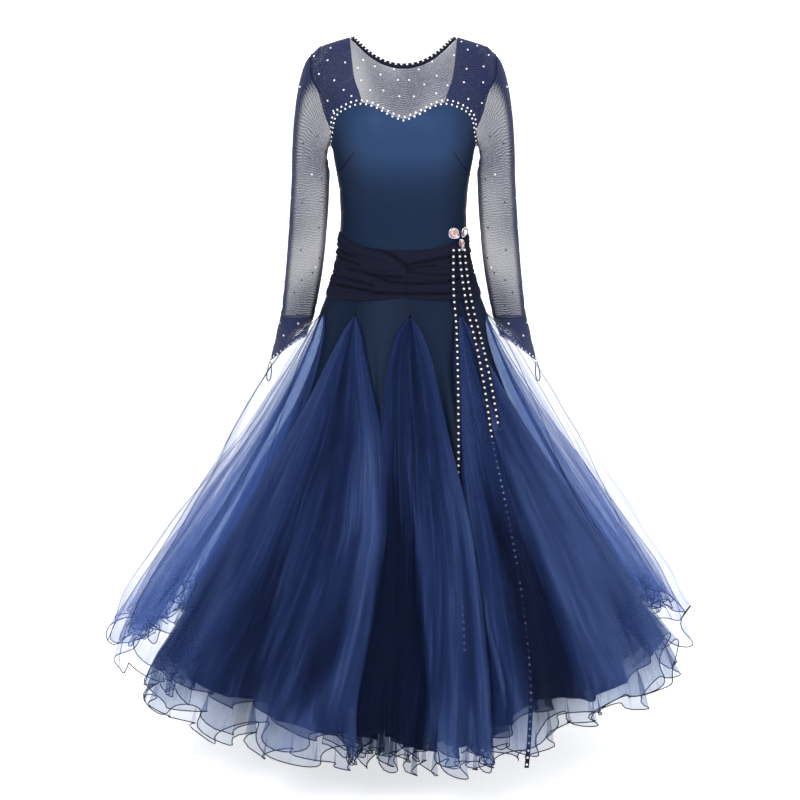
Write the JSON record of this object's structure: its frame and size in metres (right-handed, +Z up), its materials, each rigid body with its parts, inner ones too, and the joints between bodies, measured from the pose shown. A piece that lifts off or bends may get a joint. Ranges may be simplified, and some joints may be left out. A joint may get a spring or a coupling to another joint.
{
  "type": "ballroom dance dress",
  "caption": "Long-sleeved ballroom dress in its worn form: mesh yoke and sleeves, satin bodice, ruched sash, and a wide skirt of satin gores and organza godets.",
  "frame": {"origin": "midway between the two points where the neck binding crosses the shoulder seams, where the wearer's shoulders carry the dress", "axes": "+Z up along the standing wearer, -Y towards the front of the dress, +X towards the side with the brooch, the wearer's left"},
  "size_m": [1.2059, 1.1264, 1.3356],
  "materials": {
    "satin": "stretch satin, soft sheen",
    "mesh": "sheer stretch mesh",
    "double_mesh": "two layers of sheer mesh",
    "jersey": "matt ruched jersey",
    "organza": "crisp sheer organza",
    "ribbon": "matt ribbon and cord",
    "crystal": "foil-backed faceted crystal"
  },
  "bodies": {
    "root": {"bodice_back": "satin", "bodice_front": "satin", "brooch_stone_drop": "crystal", "brooch_stone_left": "crystal", "brooch_stone_right": "crystal", "cuff_left": "double_mesh", "cuff_right": "double_mesh", "finger_loop_left": "ribbon", "finger_loop_right": "ribbon", "godet_01": "organza", "godet_02": "organza", "godet_03": "organza", "godet_04": "organza", "godet_05": "organza", "godet_06": "organza", "godet_07": "organza", "godet_08": "organza", "godet_09": "organza", "godet_10": "organza", "gore_01": "satin", "gore_02": "satin", "gore_03": "satin", "gore_04": "satin", "gore_05": "satin", "gore_06": "satin", "gore_07": "satin", "gore_08": "satin", "gore_09": "satin", "gore_10": "satin", "neck_binding": "ribbon", "ribbon_1": "ribbon", "ribbon_2": "ribbon", "ribbon_3": "ribbon", "sash_back": "jersey", "sash_front": "jersey", "sleeve_left": "mesh", "sleeve_right": "mesh", "strap_left": "double_mesh", "strap_right": "double_mesh", "yoke_back": "mesh", "yoke_front": "mesh"}
  },
  "joints": []
}
